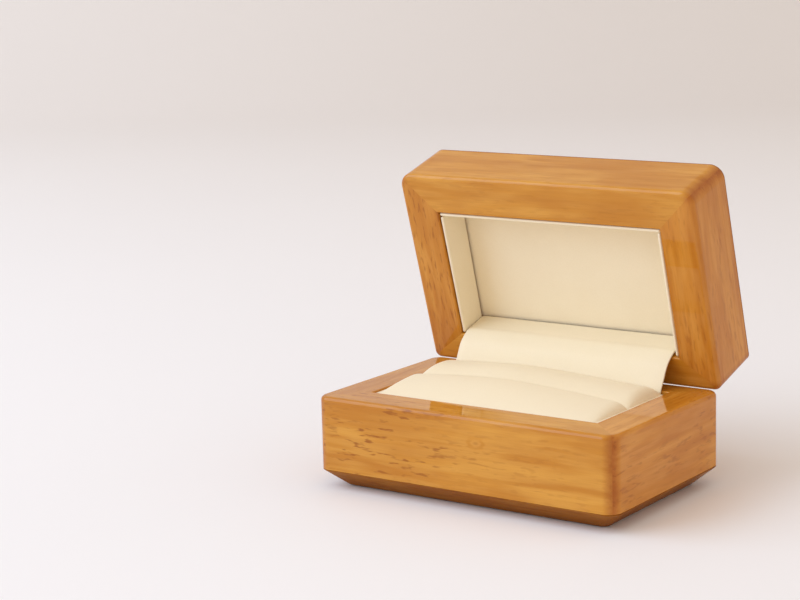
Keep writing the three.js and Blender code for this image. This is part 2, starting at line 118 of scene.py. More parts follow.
CORNER_RADIUS = 3.5 * MM
LID_BACK_CORNER = 2 * MM
CORNER_SEGMENTS = 12
RIM_ROUND = 1.2 * MM
INNER_ROUND = 0.35 * MM
SEAM_ROUND = 0.15 * MM
ROUND_SEGMENTS = 6
CHAMFER_IN = 5 * MM
CHAMFER_CORNER_SHARE = 0.5
CHAMFER_ROUND = 0.35 * MM
SHARP_ANGLE = math.radians(28)

# Hinge room in the back boards, about the pin, as in the CAD model.
GROOVE_RADIUS = 1.5 * MM
HINGE_HALF_X = 22.5 * MM
ARM_RECESS = 1.05 * MM
LEG_FLOOR = -3.1 * MM
POCKET_DEPTH = 11.5 * MM


# ---------------------------------------------------------------- helpers

def new_object(name, mesh, matrix=Matrix.Identity(4)):
    obj = bpy.data.objects.new(name, mesh)
    SCENE.collection.objects.link(obj)
    obj.matrix_world = matrix
    return obj


def mesh_from(bm, name, sharp_angle=SHARP_ANGLE):
    """Smooth shading, with edges sharper than the angle kept hard."""
    bmesh.ops.recalc_face_normals(bm, faces=bm.faces)
    for face in bm.faces:
        face.smooth = True
    for edge in bm.edges:
        if len(edge.link_faces) == 2:
            edge.smooth = edge.calc_face_angle(0) < sharp_angle
    mesh = bpy.data.meshes.new(name)
    bm.to_mesh(mesh)
    bm.free()
    return mesh


def finish_piece(obj, body, material, replaces=()):
    obj.data.materials.clear()
    obj.data.materials.append(material)
    if replaces:
        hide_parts(*replaces)
    if body:
        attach(obj, body)
    return obj


def weigh_normals(obj):
    """Keeps large flat faces flat where they meet a rounding."""
    modifier = obj.modifiers.new("weighted_normals", "WEIGHTED_NORMAL")
    modifier.keep_sharp = True
    modifier.mode = "FACE_AREA_WITH_ANGLE"


def evaluated_mesh(obj):
    depsgraph = bpy.context.evaluated_depsgraph_get()
    return bpy.data.meshes.new_from_object(obj.evaluated_get(depsgraph))


def grid_faces(bm, rows, closed_rows=False, closed_columns=False):
    """Quads between rows of vertices."""
    row_count = len(rows)
    column_count = len(rows[0])
    for r in range(row_count if closed_rows else row_count - 1):
        lower = rows[r]
        upper = rows[(r + 1) % row_count]
        for c in range(column_count if closed_columns else column_count - 1):
            d = (c + 1) % column_count
            bm.faces.new((lower[c], lower[d], upper[d], upper[c]))


def arc(centre, radius, start, end, segments):
    """Points of an arc in a plane, angles in degrees."""
    points = []
    for step in range(segments + 1):
        angle = math.radians(start + (end - start) * step / segments)
        points.append((centre[0] + radius * math.cos(angle), centre[1] + radius * math.sin(angle)))
    return points


# ---------------------------------------------------------------- node graphs

class Graph:
    """A short way to write a material's nodes. Sizes given to place() are in cycles per millimetre."""

    def __init__(self, name):
        self.material = bpy.data.materials.new(name)
        self.material.use_nodes = True
        self.tree = self.material.node_tree
        self.shader = next(n for n in self.tree.nodes if n.type == "BSDF_PRINCIPLED")
        self.coordinates = self.tree.nodes.new("ShaderNodeTexCoord").outputs["Object"]

    def set(self, **values):
        for key, value in values.items():
            self.shader.inputs[key.replace("_", " ")].default_value = value

    def feed(self, socket, source):
        if isinstance(source, (int, float)):
            socket.default_value = source
        elif isinstance(source, (tuple, list)):
            socket.default_value = tuple(source) + (1.0,) * (len(socket.default_value) - len(source))
        else:
            self.tree.links.new(source, socket)

    def math(self, operation, a, b=0.0):
        node = self.tree.nodes.new("ShaderNodeMath")
        node.operation = operation
        self.feed(node.inputs[0], a)
        self.feed(node.inputs[1], b)
        return node.outputs[0]

    def place(self, scale, offset=(0, 0, 0)):
        """Object coordinates in millimetres, shifted and then scaled per axis."""
        node = self.tree.nodes.new("ShaderNodeMapping")
        self.feed(node.inputs["Vector"], self.coordinates)
        node.inputs["Scale"].default_value = [s / MM for s in scale]
        node.inputs["Location"].default_value = [s * o for s, o in zip(scale, offset)]
        return node.outputs[0]

    def noise(self, vector, detail=2.0, roughness=0.5, distortion=0.0):
        node = self.tree.nodes.new("ShaderNodeTexNoise")
        self.feed(node.inputs["Vector"], vector)
        node.inputs["Scale"].default_value = 1.0
        node.inputs["Detail"].default_value = detail
        node.inputs["Roughness"].default_value = roughness
        node.inputs["Distortion"].default_value = distortion
        return node.outputs["Fac"]

    def voronoi(self, vector):
        node = self.tree.nodes.new("ShaderNodeTexVoronoi")
        self.feed(node.inputs["Vector"], vector)
        node.inputs["Scale"].default_value = 1.0
        return node.outputs["Distance"]

    def remap(self, value, low, high, out_low=0.0, out_high=1.0):
        node = self.tree.nodes.new("ShaderNodeMapRange")
        node.interpolation_type = "SMOOTHSTEP"
        self.feed(node.inputs["Value"], value)
        node.inputs["From Min"].default_value = low
        node.inputs["From Max"].default_value = high
        node.inputs["To Min"].default_value = out_low
        node.inputs["To Max"].default_value = out_high
        return node.outputs["Result"]

    def mix(self, factor, a, b, blend="MIX"):
        node = self.tree.nodes.new("ShaderNodeMix")
        node.data_type = "RGBA"
        node.blend_type = blend
        self.feed(node.inputs[0], factor)
        self.feed(node.inputs[6], a)
        self.feed(node.inputs[7], b)
        return node.outputs[2]

    def axis(self, vector, index):
        node = self.tree.nodes.new("ShaderNodeSeparateXYZ")
        self.feed(node.inputs[0], vector)
        return node.outputs[index]

    def bump(self, height, distance, strength=1.0):
        node = self.tree.nodes.new("ShaderNodeBump")
        node.inputs["Distance"].default_value = distance
        node.inputs["Strength"].default_value = strength
        self.feed(node.inputs["Height"], height)
        return node.outputs["Normal"]

    def into(self, name, source):
        self.feed(self.shader.inputs[name], source)


# ---------------------------------------------------------------- materials

HONEY = (0.66, 0.300, 0.038)
AMBER = (0.50, 0.182, 0.014)
PALE_GRAIN = (0.76, 0.400, 0.078)
PORE = (0.34, 0.105, 0.008)
# PAINTED_CORNER_SHADE is painted shade for the rounded corners at the boards' ends.
PAINTED_CORNER_SHADE = (0.62, 0.36, 0.18)
CREAM_SHADE = (0.80, 0.68, 0.46)


def wood_material(
        name, seed, half_length=None, tint=(1, 1, 1), pores=1.0, figure=1.0, knot=None, coat=0.9,
        dash_side=0):
    """Lacquered honey-coloured wood with its grain along the piece's own X axis.

    half_length paints shade over the two ends, where the board turns round a rounded corner. A knot is a place in
    millimetres. dash_side is the end with more dashes.
    """
    g = Graph(name)
    shift = (37.0 * seed, 11.0 * seed + 5.0, 17.0 * seed)

    bend = g.noise(g.place((0.018, 0.05, 0.05), shift), detail=2)
    growth = g.noise(g.place((0.010, 0.16, 0.16), shift), detail=3, roughness=0.55, distortion=0.4)
    rings = g.math("ADD", g.math("MULTIPLY", growth, 9.0 * figure), g.math("MULTIPLY", bend, 7.0 * figure))
    if knot:
        spot = g.place((0.55, 0.0, 1.0), (-knot[0], 0, -knot[1]))
        radius = g.tree.nodes.new("ShaderNodeVectorMath")
        radius.operation = "LENGTH"
        g.feed(radius.inputs[0], spot)
        swirl = g.remap(radius.outputs["Value"], 0.1, 2.0, 1.1, 0.0)
        rings = g.math("ADD", rings, swirl)
    band = g.math("SINE", g.math("MULTIPLY", rings, 2 * math.pi))
    band = g.remap(band, -1.0, 1.0)

    streak = g.noise(g.place((0.020, 0.34, 0.34), shift), detail=5, roughness=0.52)
    fibre = g.noise(g.place((0.12, 3.6, 3.6), shift), detail=3, roughness=0.6)
    cloud = g.noise(g.place((0.035, 0.09, 0.09), shift), detail=3)

    color = g.mix(g.remap(streak, 0.34, 0.70, 0.0, 0.80), HONEY, AMBER)
    color = g.mix(g.math("MULTIPLY", band, 0.36), color, PALE_GRAIN)
    color = g.mix(g.remap(cloud, 0.38, 0.68, 0.0, 0.60), color, AMBER)
    color = g.mix(g.remap(fibre, 0.35, 0.7, 0.0, 0.12), color, PORE)

    dash = g.noise(g.place((0.27, 1.35, 1.35), shift), detail=1.5, roughness=0.5)
    cluster = g.noise(g.place((0.05, 0.12, 0.12), (shift[0] + 50, shift[1], shift[2])), detail=1)
    dash = g.math("MULTIPLY", g.remap(dash, 0.54, 0.70), g.remap(cluster, 0.34, 0.58, 0.10, 0.40))
    dash = g.math("MULTIPLY", dash, pores)
    if dash_side:
        along_side = g.math("MULTIPLY", g.axis(g.coordinates, 0), dash_side)
        dash = g.math("MULTIPLY", dash, g.remap(along_side, -14 * MM, 10 * MM, 0.25, 1.0))
    color = g.mix(dash, color, PORE)
    if knot:
        core = g.remap(radius.outputs["Value"], 0.1, 0.6, 0.35, 0.0)
        color = g.mix(core, color, PORE)
    # Painted shade: the two ends, over the rounded corners, are darkened towards a deep orange.
    if half_length:
        along = g.math("ABSOLUTE", g.axis(g.coordinates, 0))
        end = g.remap(along, half_length - 3.4 * MM, half_length - 0.6 * MM, 0.0, 0.75)
        color = g.mix(end, color, PAINTED_CORNER_SHADE, "MULTIPLY")
    color = g.mix(1.0, color, tint, "MULTIPLY")

    g.into("Base Color", color)
    g.into("Roughness", g.remap(streak, 0.3, 0.7, 0.34, 0.46))
    g.set(Specular_IOR_Level=0.0, Coat_Weight=coat, Coat_Roughness=0.03, Coat_IOR=1.42)
    g.into("Normal", g.bump(g.math("SUBTRACT", fibre, dash), 0.02 * MM, 0.3))
    flow = g.noise(g.place((0.07, 0.11, 0.11), shift), detail=1.5)
    g.into("Coat Normal", g.bump(flow, 0.06 * MM, 0.3))
    return g.material


def leatherette_material(name, color, seed):
    """Smooth cream leatherette: a very fine pebble, faint clouding and a soft sheen."""
    g = Graph(name)
    shift = (13.0 * seed, 7.0 * seed, 3.0 * seed)
    cloud = g.noise(g.place((0.05, 0.05, 0.05), shift), detail=4, roughness=0.6)
    fine = g.noise(g.place((1.1, 1.1, 1.1), shift), detail=3)
    pebble = g.voronoi(g.place((3.2, 3.2, 3.2), shift))
    base = g.mix(g.remap(cloud, 0.38, 0.72, 0.0, 0.16), color, CREAM_SHADE)
    base = g.mix(g.remap(pebble, 0.30, 0.75, 0.0, 0.10), base, CREAM_SHADE)
    g.into("Base Color", base)
    g.into("Roughness", g.remap(fine, 0.3, 0.7, 0.50, 0.62))
    g.set(Specular_IOR_Level=0.32, Sheen_Weight=0.12, Sheen_Roughness=0.45, Subsurface_Weight=0.0)
    height = g.math("ADD", g.math("MULTIPLY", fine, 0.7), g.math("MULTIPLY", pebble, -0.5))
    g.into("Normal", g.bump(height, 0.05 * MM, 0.5))
    return g.material


def felt_material():
    g = Graph("felt")
    fuzz = g.noise(g.place((2.5, 2.5, 2.5)), detail=6, roughness=0.8)
    cloud = g.noise(g.place((0.12, 0.12, 0.12)), detail=3)
    base = g.mix(g.remap(fuzz, 0.3, 0.7), (0.045, 0.028, 0.020), (0.115, 0.075, 0.055))
    base = g.mix(g.remap(cloud, 0.3, 0.8, 0.0, 0.4), base, (0.06, 0.04, 0.03))
    g.into("Base Color", base)
    g.into("Roughness", g.remap(fuzz, 0.3, 0.7, 0.88, 1.0))
    g.set(Sheen_Weight=0.5, Sheen_Roughness=0.6)
    g.into("Normal", g.bump(fuzz, 0.25 * MM, 0.9))
    return g.material


def card_material():
    g = Graph("card")
    pulp = g.noise(g.place((0.9, 0.9, 0.9)), detail=6, roughness=0.75)
    fleck = g.noise(g.place((0.6, 2.4, 2.4), (9, 4, 2)), detail=2)
    base = g.mix(g.remap(pulp, 0.3, 0.7), (0.42, 0.33, 0.22), (0.55, 0.46, 0.33))
    base = g.mix(g.remap(fleck, 0.64, 0.72, 0.0, 0.7), base, (0.24, 0.17, 0.10))
    g.into("Base Color", base)
    g.into("Roughness", g.remap(pulp, 0.3, 0.7, 0.8, 0.95))
    g.into("Normal", g.bump(pulp, 0.05 * MM, 0.6))
    return g.material


def metal_material(name, color, worn, grain_scale):
    """Rolled sheet metal: drawn grain, duller where it was handled."""
    g = Graph(name)
    drawn = g.noise(g.place(grain_scale), detail=4, roughness=0.7)
    patina = g.noise(g.place((0.25, 0.25, 0.25), (4, 8, 2)), detail=4)
    base = g.mix(g.remap(patina, 0.35, 0.75, 0.0, 0.55), color, worn)
    base = g.mix(g.remap(drawn, 0.3, 0.75, 0.0, 0.25), base, worn)
    g.into("Base Color", base)
    dull = g.remap(patina, 0.4, 0.8, 0.0, 0.14)
    g.into("Roughness", g.math("ADD", g.remap(drawn, 0.3, 0.7, 0.16, 0.30), dull))
    g.set(Metallic=1.0)
    g.into("Normal", g.bump(drawn, 0.02 * MM, 0.5))
    return g.material


# ---------------------------------------------------------------- wooden shells

def corner_run(is_back, inset, on_side, back_radius):
    """A board's offset line round its right-hand corner, from the straight part to the mitre.

    The mitre runs from the cavity's corner through the centre of the corner's rounding.
    """
    radius = back_radius if is_back else CORNER_RADIUS
    sign = 1 if is_back else -1
    centre = Vector((HALF_X - radius, sign * (HALF_Y - radius)))
    inner = Vector((INNER_X, INNER_BACK if is_back else INNER_FRONT))
    out = centre - inner
    mitre = math.degrees(math.atan2(out.y, out.x))
    if inset < radius:
        start = 0 if on_side else sign * 90
        return arc(centre, radius - inset, start, mitre, CORNER_SEGMENTS)
    if on_side:
        share = (HALF_X - inset - inner.x) / out.x
    else:
        share = (sign * (HALF_Y - inset) - inner.y) / out.y
    point = inner + out * share
    return [(point.x, point.y)] * (CORNER_SEGMENTS + 1)


def board_profile(bottom, rim, wall):
    """Inset from the outer face, and height, round a board's section."""
    outer_seam = arc((SEAM_ROUND, bottom + SEAM_ROUND), SEAM_ROUND, 270, 180, 3)
    outer_rim = arc((RIM_ROUND, rim - RIM_ROUND), RIM_ROUND, 180, 90, ROUND_SEGMENTS)
    inner_rim = arc((wall - INNER_ROUND, rim - INNER_ROUND), INNER_ROUND, 90, 0, 4)
    return outer_seam + outer_rim + inner_rim + [(wall, bottom)]


def board_mesh(name, side, bottom, rim, back_radius, up, turn):
    """One mitred board. Up is 1 for a rim at the top and -1 for a rim at the bottom."""
    wall = BACK_WALL if side == "back" else WALL
    to_local = turn.inverted()
    bm = bmesh.new()
    rows = []
    for inset, z in board_profile(bottom, rim, wall):
        if side in ("front", "back"):
            right = corner_run(side == "back", inset, False, back_radius)
            line = [(-x, y) for x, y in reversed(right)] + right
        else:
            mirror = 1 if side == "right" else -1
            front = corner_run(False, inset, True, back_radius)
            back = corner_run(True, inset, True, back_radius)
            line = [(mirror * x, y) for x, y in list(reversed(front)) + back]
        rows.append([bm.verts.new(to_local @ Vector((x, y, up * z))) for x, y in line])
    grid_faces(bm, rows, closed_rows=True)
    bm.faces.new([row[0] for row in rows])
    bm.faces.new([row[-1] for row in reversed(rows)])
    bmesh.ops.remove_doubles(bm, verts=bm.verts, dist=1e-6)
    bmesh.ops.dissolve_degenerate(bm, edges=bm.edges, dist=1e-7)
    return mesh_from(bm, name)


def rounded_outline(half_x, half_y, radius, z, back_radius=None):
    points = []
    back_radius = radius if back_radius is None else back_radius
    for side_x, side_y, start in ((1, -1, -90), (1, 1, 0), (-1, 1, 90), (-1, -1, 180)):
        r = back_radius if side_y > 0 else radius
        centre = (side_x * (half_x - r), side_y * (half_y - r))
        points += arc(centre, r, start, start + 90, CORNER_SEGMENTS)
    return [(x, y, z) for x, y in points]


def chamfer_sections(thickness):
    """Inset and height up a panel's edge: outer face, bevel, short top edge, inner face."""
    slope = math.degrees(math.atan2(thickness, CHAMFER_IN))
    run = CHAMFER_ROUND * math.tan(math.radians(slope / 2))
    low = arc((CHAMFER_IN + run, CHAMFER_ROUND), CHAMFER_ROUND, 270, 270 - slope, 4)
    seam = arc((SEAM_ROUND, thickness - SEAM_ROUND), SEAM_ROUND, 180 + (90 - slope), 90, 4)
    return low + seam


def panel_mesh(name, thickness, back_radius, up):
    """A board whose outer face, at z = 0, is smaller all round by the bevel."""
    bm = bmesh.new()
    rings = []
    for inset, z in chamfer_sections(thickness):
        share = 1 - (1 - CHAMFER_CORNER_SHARE) * min(max(inset / CHAMFER_IN, 0), 1)
        outline = rounded_outline(
            HALF_X - inset, HALF_Y - inset, CORNER_RADIUS * share, up * z, back_radius * share)
        rings.append([bm.verts.new(p) for p in outline])
    grid_faces(bm, rings, closed_columns=True)
    bm.faces.new(list(reversed(rings[0])))
    bm.faces.new(rings[-1])
    return mesh_from(bm, name)


def hinge_room(sign):
    """What the hinge needs cut from a back board, with the lid closed. Sign is 1 for the base."""
    bm = bmesh.new()

    def block(x, y0, y1, z0, z1):
        centre = Vector((0, (y0 + y1) / 2, sign * (z0 + z1) / 2)) + PIVOT
        scale = Matrix.Diagonal((2 * x, y1 - y0, z1 - z0, 1))
        bmesh.ops.create_cube(bm, size=1, matrix=Matrix.Translation(centre) @ scale)

    block(HINGE_HALF_X, LEG_FLOOR - 1 * MM, 0, -ARM_RECESS, 1 * MM)
    into_cavity = INNER_BACK - PIVOT.y - 1 * MM
    block(HINGE_HALF_X - 0.01 * MM, into_cavity, LEG_FLOOR, -POCKET_DEPTH, 1.1 * MM)
    bmesh.ops.create_cone(
        bm, segments=48, cap_ends=True, radius1=GROOVE_RADIUS, radius2=GROOVE_RADIUS,
        depth=2 * HINGE_HALF_X + 0.02 * MM,
        matrix=Matrix.Translation(PIVOT) @ Matrix.Rotation(math.pi / 2, 4, "Y"))
    mesh = bpy.data.meshes.new("hinge_room")
    bm.to_mesh(mesh)
    bm.free()
    return mesh


def cut_hinge_room(obj, sign, to_closed):
    cutter = new_object("hinge_room", hinge_room(sign), to_closed)
    modifier = obj.modifiers.new("hinge_room", "BOOLEAN")
    modifier.object = cutter
    modifier.operation = "DIFFERENCE"
    modifier.solver = "EXACT"
    modifier.use_self = True
    bpy.context.view_layer.update()
    cut = evaluated_mesh(obj)
    obj.modifiers.clear()
    bm = bmesh.new()
    bm.from_mesh(cut)
    bmesh.ops.remove_doubles(bm, verts=bm.verts, dist=1e-7)
    obj.data = mesh_from(bm, obj.name)
    bpy.data.objects.remove(cutter)


BASE_WOOD = {
    "front": dict(seed=1.0, pores=2.3, figure=0.55, knot=(5, 17), dash_side=-1),
    "right": dict(seed=2.3, tint=(1.0, 0.92, 0.88), pores=1.2, figure=0.6),
    "back": dict(seed=3.1, pores=0.8),
    "left": dict(seed=4.7, pores=0.7),
}
LID_WOOD = {
    "front": dict(seed=5.2, pores=0.5, figure=0.5),
    "right": dict(seed=6.6, tint=(0.94, 0.84, 0.80), pores=0.9, figure=0.6),
    "back": dict(seed=7.9, pores=0.6, figure=0.6),
    "left": dict(seed=8.4, tint=(0.96, 0.90, 0.9), pores=1.5, figure=0.9),
}
# The panels' wood is darker: partly a darker stain, partly painted shade on the bevels, which face away from the
# light.
PANEL_STAIN_AND_SHADE = (0.50, 0.38, 0.24)


def build_shell(part, looks, shell_matrix, height, panel_thickness, back_radius, up):
    """Four mitred boards and a bevelled panel."""
    for side, look in looks.items():
        turn = Matrix.Rotation(QUARTER_TURNS[side] * math.pi / 2, 4, "Z")
        name = f"{part}_{side}_board"
        mesh = board_mesh(name, side, panel_thickness, height, back_radius, up, turn)
        obj = new_object(name, mesh, shell_matrix @ turn)
        if side == "back":
            cut_hinge_room(obj, up, Matrix.Identity(4) if part == "base" else CLOSED_TO_OPEN)
        weigh_normals(obj)
        half_along = HALF_X if side in ("front", "back") else HALF_Y
        material = wood_material(f"wood_{part}_{side}", half_length=half_along, **look)
        finish_piece(obj, part, material, [f"{part}_{side}_wall"])
    node = "base_bottom_panel" if part == "base" else "lid_top_panel"
    panel = new_object(f"{node}_board", panel_mesh(node, panel_thickness, back_radius, up), shell_matrix)
    weigh_normals(panel)
    seed = 9.3 if part == "base" else 10.8
    # Partly a darker stain, partly painted shade for the bevel.
    material = wood_material(f"wood_{node}", seed, tint=PANEL_STAIN_AND_SHADE, coat=0.3)
    finish_piece(panel, part, material, [node])


# ---------------------------------------------------------------- soft parts

ROLL_EDGE_DROP = 0.5 * MM
ROLL_COVER = 0.25 * MM
ROLL_TIP = 1.15 * MM
ROLL_END = 3.2 * MM
ROLL_COLUMNS = 120
ROLL_ARCH = 48
CREAM = (0.90, 0.80, 0.59)
CREAM_LINING = (0.93, 0.835, 0.635)

# Crest height above the rim and where along X it is highest; how fast it falls away from there; where across
# the roll its peak lies, as a share from the front; and how full the ramp up to the peak is.
ROLLS = {
    "front": dict(crest=3.85 * MM, highest=-3 * MM, fall=0.0125, peak=0.84, ramp=1.7, seed=1.7),
    "back": dict(crest=4.4 * MM, highest=-5 * MM, fall=0.0110, peak=0.56, ramp=2.2, seed=5.3),
}


def roll_height(x, half_x, crest, highest, fall):
    """Height of a roll's crest above its edges at a place along it, falling softly at the two ends."""
    sag = fall * (abs(x - highest) / MM) ** 1.5 * MM
    from_end = max(half_x - abs(x) - ROLL_TIP, 0) / ROLL_END
    end = 1 if from_end >= 1 else math.sqrt(max(1 - (1 - from_end) ** 2.4, 0))
    return (crest + ROLL_EDGE_DROP - sag) * (0.04 + 0.96 * end)


def roll_arch(t, peak, ramp):
    """Share of the full height across a roll: a long ramp up to the peak and a steep fall after it."""
    if t < peak:
        return max(1 - ((peak - t) / peak) ** ramp, 0) ** 0.8
    return math.sqrt(max(1 - ((t - peak) / (1 - peak)) ** 2.4, 0))


def roll_mesh(name, y_front, y_back, bottom, half_x, crest, highest, fall, peak, ramp, seed):
    """A foam roll wrapped in leatherette: flat sides below the rim, a crowned top and rounded ends."""
    bm = bmesh.new()
    edge = RIM - ROLL_EDGE_DROP
    rows = []
    for column in range(ROLL_COLUMNS + 1):
        s = -math.cos(math.pi * column / ROLL_COLUMNS)
        x = half_x * s
        height = roll_height(x, half_x, crest, highest, fall)
        line = [(x, y_front, bottom), (x, y_front, edge - 2 * MM)]
        for step in range(ROLL_ARCH + 1):
            t = (1 - math.cos(math.pi * step / ROLL_ARCH)) / 2
            wander = noise.noise(Vector((x * 90, t * 2.2, seed))) * 0.10 * MM
            z = edge + (height + wander) * roll_arch(t, peak, ramp)
            line.append((x, y_front + (y_back - y_front) * t, z))
        line += [(x, y_back, edge - 2 * MM), (x, y_back, bottom)]
        rows.append([bm.verts.new(p) for p in line])
    grid_faces(bm, rows, closed_columns=True)
    bm.faces.new(list(reversed(rows[0])))
    bm.faces.new(rows[-1])
    bmesh.ops.triangulate(bm, faces=[f for f in bm.faces if len(f.verts) > 4])
    return mesh_from(bm, name, math.radians(50))


def build_cushion():
    """The front and back rolls, each a little fuller than its CAD solid so that they meet."""
    for which, shape in ROLLS.items():
        node = f"cushion_{which}_roll"
        low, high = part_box(node)
        front = low.y - ROLL_COVER
        back = high.y + ROLL_COVER
        mesh = roll_mesh(f"{which}_roll", front, back, low.z, high.x + ROLL_COVER, **shape)
        roll = new_object(f"{which}_roll_cover", mesh)
        material = leatherette_material(f"leatherette_{which}_roll", CREAM, shape["seed"])
        finish_piece(roll, "base", material, [node])


FLAP_THICKNESS = 0.7 * MM
FLAP_LEFT = -31.0 * MM
FLAP_RIGHT = 30.3 * MM
FLAP_TAPER = 0.6 * MM
FLAP_COLUMNS = 48


def smooth_path(points, steps):
    """A Catmull-Rom curve through the points."""
    padded = [points[0] * 2 - points[1]] + points + [points[-1] * 2 - points[-2]]
    path = []
    for i in range(1, len(padded) - 2):
        a, b, c, d = padded[i - 1:i + 3]
        for step in range(steps):
            t = step / steps
            path.append(0.5 * (2 * b + (c - a) * t + (2 * a - 5 * b + 4 * c - d) * t ** 2
                               + (3 * b - 3 * c + d - a) * t ** 3))
    path.append(points[-1])
    return path


def flap_path():
    """The flap's centreline in the YZ plane, from the lid's ceiling to its tuck behind the back roll."""
    inner = INNER_BACK - 0.35 * MM - FLAP_THICKNESS / 2
    lid_points = [(inner, 9.0), (inner, 6.0), (inner, 3.0), (inner, 1.0)]
    points = [CLOSED_TO_OPEN @ Vector((0, y, LID_RIM + h * MM)) for y, h in lid_points]
    points += [
        Vector((0, 21.7 * MM, 29.4 * MM)),
        Vector((0, 19.8 * MM, 26.4 * MM)),
        Vector((0, 18.35 * MM, 23.6 * MM)),
        Vector((0, inner, RIM - 2.0 * MM)),
        Vector((0, inner, RIM - 4.5 * MM)),
        Vector((0, inner, RIM - 7.5 * MM)),
    ]
    return smooth_path(points, 10)


def build_flap():
    """One leatherette sheet from the lid to the base."""
    path = flap_path()
    bm = bmesh.new()
    columns = FLAP_COLUMNS
    rows = []
    for i, point in enumerate(path):
        before = path[max(i - 1, 0)]
        after = path[min(i + 1, len(path) - 1)]
        tangent = (after - before).normalized()
        normal = Vector((1, 0, 0)).cross(tangent)
        row = []
        for side in (1, -1):
            order = range(columns + 1) if side == 1 else range(columns, -1, -1)
            for column in order:
                left = FLAP_LEFT + FLAP_TAPER * i / len(path)
                x = left + (FLAP_RIGHT - left) * column / columns
                edge = min(column, columns - column) / columns
                thickness = FLAP_THICKNESS / 2 * (1 if edge > 0.004 else 0.55)
                ripple = noise.noise(Vector((x * 55, i * 0.06, 3.1))) * 0.12 * MM
                row.append(bm.verts.new(point + normal * (side * thickness + ripple) + Vector((x, 0, 0))))
        rows.append(row)
    grid_faces(bm, rows, closed_columns=True)
    bm.faces.new(list(reversed(rows[0])))
    bm.faces.new(rows[-1])
    bmesh.ops.triangulate(bm, faces=[f for f in bm.faces if len(f.verts) > 4])
    flap = new_object("lining_flap", mesh_from(bm, "lining_flap", math.radians(50)))
    material = leatherette_material("leatherette_flap", CREAM, 2.2)
    finish_piece(flap, None, material, ["hinge_flap"])
    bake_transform(flap)


def soft_slab(name, corners, depth_x, round_by):
    """A prism of a YZ outline along X, with all its edges rounded."""
    bm = bmesh.new()
    x0, x1 = depth_x
    left = [bm.verts.new((x0, y, z)) for y, z in corners]
    right = [bm.verts.new((x1, y, z)) for y, z in corners]
    bm.faces.new(left)
    bm.faces.new(list(reversed(right)))
    for i in range(len(corners)):
        j = (i + 1) % len(corners)
        bm.faces.new((left[i], right[i], right[j], left[j]))
    bmesh.ops.recalc_face_normals(bm, faces=bm.faces)
    bmesh.ops.bevel(bm, geom=list(bm.edges), offset=round_by, segments=4, affect="EDGES", profile=0.5)
    return mesh_from(bm, name)


LINING_ROUND = 0.38 * MM


def build_lining():
    """Strips of leatherette on the lid's left, right and front walls."""
    for side in ("left", "right", "front"):
        node = f"lid_lining_{side}"
        low, high = closed_box(node)
        ceiling = closed_box("lid_ceiling_pad")[0].z
        corners = [(low.y, low.z), (high.y, low.z), (high.y, high.z), (low.y, high.z)]
        if side != "front":
            corners[2] = (high.y, ceiling - 0.3 * MM)
        mesh = soft_slab(node, corners, (low.x, high.x), LINING_ROUND)
        obj = new_object(f"{node}_cover", mesh, CLOSED_TO_OPEN)
        weigh_normals(obj)
        material = leatherette_material(f"leatherette_{side}", CREAM_LINING, 4.0 + len(side))
        finish_piece(obj, "lid", material, [node])


CEILING_CROWN = 0.45 * MM
CEILING_EDGE = 0.5 * MM
CEILING_COLUMNS = 60
CEILING_LINES = 36


def build_ceiling():
    """The padded ceiling: its face follows the CAD pad's slope and swells a little in the middle."""
    node = "lid_ceiling_pad"
    points = [OPEN_TO_CLOSED @ v.co for v in frame["nodes"][node].data.vertices]
    low, high = closed_box(node)
    back_face = min(p.z for p in points if p.y > high.y - 1 * MM)
    front_face = min(p.z for p in points if p.y < low.y + 1 * MM)
    bm = bmesh.new()
    rows = []
    for i in range(CEILING_LINES + 1):
        t = (1 - math.cos(math.pi * i / CEILING_LINES)) / 2
        y = low.y + (high.y - low.y) * t
        face = front_face + (back_face - front_face) * t
        row = []
        for j in range(CEILING_COLUMNS + 1):
            s = (1 - math.cos(math.pi * j / CEILING_COLUMNS)) / 2
            x = low.x + (high.x - low.x) * s
            inward = min(4 * t * (1 - t), 1) ** 0.35 * min(4 * s * (1 - s), 1) ** 0.35
            ripple = noise.noise(Vector((x * 60, y * 60, 8.8))) * 0.06 * MM
            swell = (CEILING_CROWN + CEILING_EDGE + ripple) * inward
            row.append(bm.verts.new((x, y, face + CEILING_EDGE - swell)))
        rows.append(row)
    grid_faces(bm, rows)
    border = [row[0] for row in rows[:-1]] + rows[-1][:-1]
    border += [row[-1] for row in reversed(rows[1:])] + list(reversed(rows[0][1:]))
    top = [bm.verts.new((v.co.x, v.co.y, high.z)) for v in border]
    for i in range(len(border)):
        j = (i + 1) % len(border)
        bm.faces.new((border[i], top[i], top[j], border[j]))
    bm.faces.new(top)
    pad = new_object("ceiling_pad_cover", mesh_from(bm, "ceiling_pad", math.radians(50)), CLOSED_TO_OPEN)
    material = leatherette_material("leatherette_ceiling", CREAM_LINING, 6.1)
    finish_piece(pad, "lid", material, [node])


def build_felt():
    node = "base_felt_pad"
    low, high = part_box(node)
    bm = bmesh.new()
    rings = []
    soft = 0.2 * MM
    for inset, z in ((soft, low.z), (0.06 * MM, low.z + 0.06 * MM), (0, low.z + soft), (0, high.z)):
        outline = rounded_outline(high.x - inset, high.y - inset, 2 * MM, z)
        rings.append([bm.verts.new(p) for p in outline])
    grid_faces(bm, rings, closed_columns=True)
    bm.faces.new(list(reversed(rings[0])))
    bm.faces.new(rings[-1])
    felt = new_object("felt_foot", mesh_from(bm, "felt_foot"))
    finish_piece(felt, "base", felt_material(), [node])


